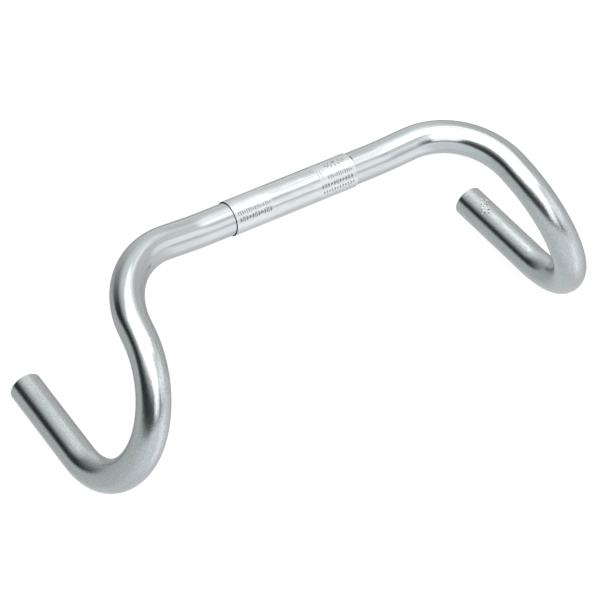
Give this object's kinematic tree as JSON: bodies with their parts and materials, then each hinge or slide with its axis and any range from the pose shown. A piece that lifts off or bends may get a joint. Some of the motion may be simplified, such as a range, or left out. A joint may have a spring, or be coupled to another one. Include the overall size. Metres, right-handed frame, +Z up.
{
  "type": "drop handlebar",
  "caption": "Flared bicycle drop handlebar: a bent hollow alloy tube with level drops, slightly raised tops and an engraved clamp sleeve around its middle.",
  "frame": {"origin": "centre of the stem clamp area, on the axis of the straight middle of the bar", "axes": "+X along the bar to the rider's left, -Y ahead of the rider, +Z up, with the ends of the drops level"},
  "size_m": [0.4208, 0.1396, 0.1417],
  "materials": {
    "satin_aluminium": "satin, finely blasted on the hooks and drops and buffed brighter on the tops",
    "polished_aluminium": "polished, with engraved ornament at both ends"
  },
  "bodies": {
    "root": {"bar_tube": "satin_aluminium", "centre_sleeve": "polished_aluminium"}
  },
  "joints": []
}
